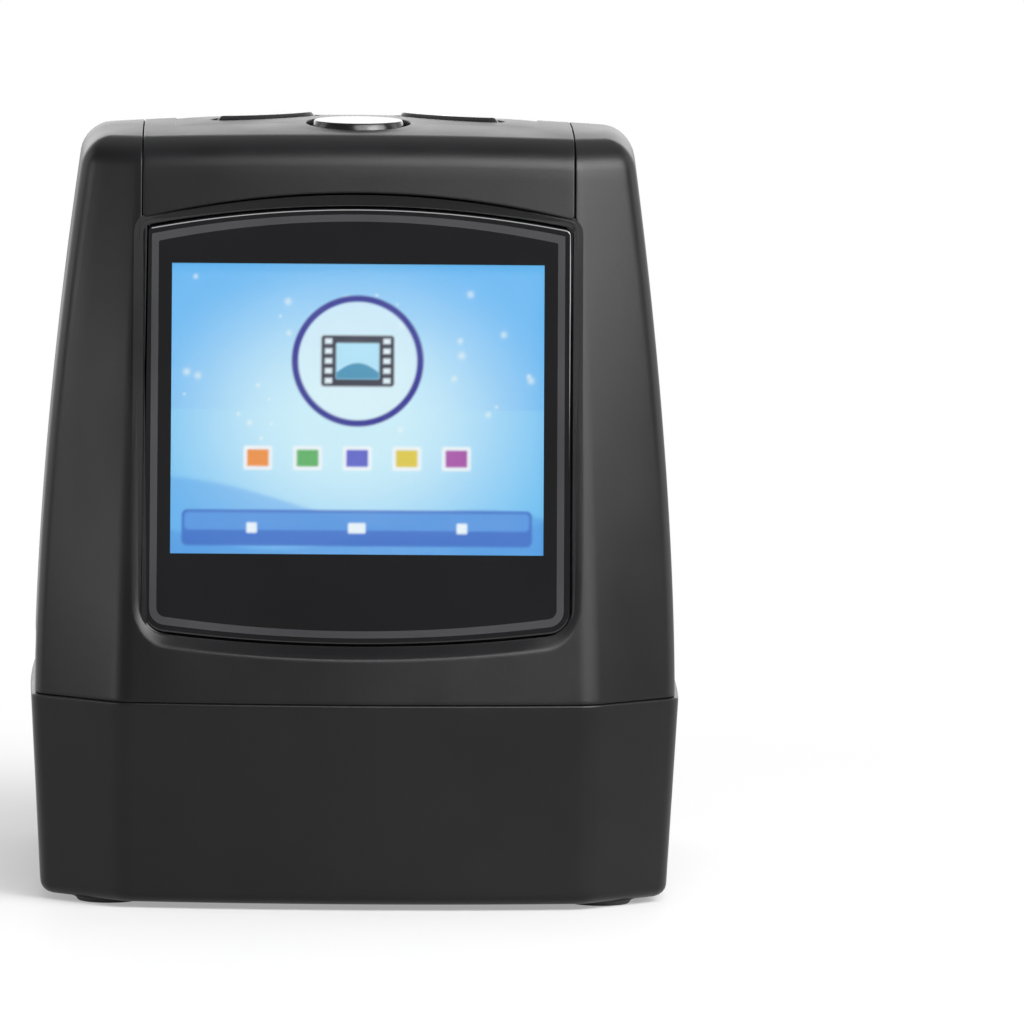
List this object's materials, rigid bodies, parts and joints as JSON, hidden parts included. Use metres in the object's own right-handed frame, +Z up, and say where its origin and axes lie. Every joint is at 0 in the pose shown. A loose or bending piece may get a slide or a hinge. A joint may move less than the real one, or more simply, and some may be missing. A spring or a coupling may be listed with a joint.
{
  "type": "film negative scanner",
  "caption": "Free-standing negative scanner: leaning black tower on a base, tilted screen in front, push buttons on top, film slot through the sides.",
  "frame": {"origin": "middle of the bounding box's footprint, on the surface that the feet stand on", "axes": "+Z up, -Y out of the face with the screen, +X to the right of a user who looks at the screen"},
  "size_m": [0.0866, 0.086, 0.1031],
  "materials": {
    "shell_black": "satin moulded with a fine texture",
    "button_black": "half gloss with printed signs",
    "window_black": "polished acrylic with a printed border",
    "screen_lit": "lit display",
    "inner_black": "matt",
    "board_green": "solder mask",
    "chip_black": "matt",
    "screw_steel": "zinc plated",
    "socket_steel": "tinned sheet",
    "white_plastic": "matt white",
    "opal_plastic": "opal",
    "clear_plastic": "clear",
    "lens_glass": "coated",
    "ribbon_amber": "polyimide film",
    "foot_rubber": "matt"
  },
  "bodies": {
    "housing": {"base_housing": "shell_black", "upper_housing": "shell_black", "top_cover": "shell_black", "screen_window": "window_black", "screen_panel": "screen_lit", "screen_holder": "inner_black", "main_board": "board_green", "main_chips": "chip_black", "main_board_screws": "screw_steel", "key_board": "board_green", "key_board_screws": "screw_steel", "key_switches": "chip_black", "status_lamp": "clear_plastic", "light_guide": "clear_plastic", "card_socket": "chip_black", "card_shield": "socket_steel", "optics_chassis": "inner_black", "chassis_screws": "screw_steel", "sensor_board": "board_green", "image_sensor": "chip_black", "sensor_screws": "screw_steel", "lens_holder": "inner_black", "lens_barrel": "inner_black", "front_lens": "lens_glass", "rear_lens": "lens_glass", "film_tray": "inner_black", "diffuser": "opal_plastic", "reflector_box": "white_plastic", "backlight_board": "board_green", "backlight_lamps": "opal_plastic", "backlight_screws": "screw_steel", "socket_board": "board_green", "socket_screws": "screw_steel", "usb_socket": "socket_steel", "usb_tongue": "inner_black", "av_jack": "inner_black", "rubber_feet": "foot_rubber", "base_screws": "screw_steel", "sensor_ribbon": "ribbon_amber", "socket_ribbon": "ribbon_amber", "key_ribbon": "ribbon_amber"},
    "power_key": {"power_button": "button_black", "power_plunger": "inner_black"},
    "menu_key": {"menu_button": "button_black", "menu_plunger": "inner_black"},
    "left_key": {"left_button": "button_black", "left_plunger": "inner_black"},
    "right_key": {"right_button": "button_black", "right_plunger": "inner_black"},
    "scan_key": {"scan_button": "button_black", "scan_plunger": "inner_black"}
  },
  "joints": [
    {"name": "power_press", "type": "slide", "parent": "housing", "child": "power_key", "axis": [0, 0, -1], "range_m": [0, 0.0005], "stiffness_N_per_m": 1500, "springref_m": -0.0003},
    {"name": "menu_press", "type": "slide", "parent": "housing", "child": "menu_key", "axis": [0, 0, -1], "range_m": [0, 0.0005], "stiffness_N_per_m": 1500, "springref_m": -0.0003},
    {"name": "left_press", "type": "slide", "parent": "housing", "child": "left_key", "axis": [0, 0, -1], "range_m": [0, 0.0005], "stiffness_N_per_m": 1500, "springref_m": -0.0003},
    {"name": "right_press", "type": "slide", "parent": "housing", "child": "right_key", "axis": [0, 0, -1], "range_m": [0, 0.0005], "stiffness_N_per_m": 1500, "springref_m": -0.0003},
    {"name": "scan_press", "type": "slide", "parent": "housing", "child": "scan_key", "axis": [0, 0, -1], "range_m": [0, 0.0005], "stiffness_N_per_m": 1500, "springref_m": -0.0003}
  ]
}
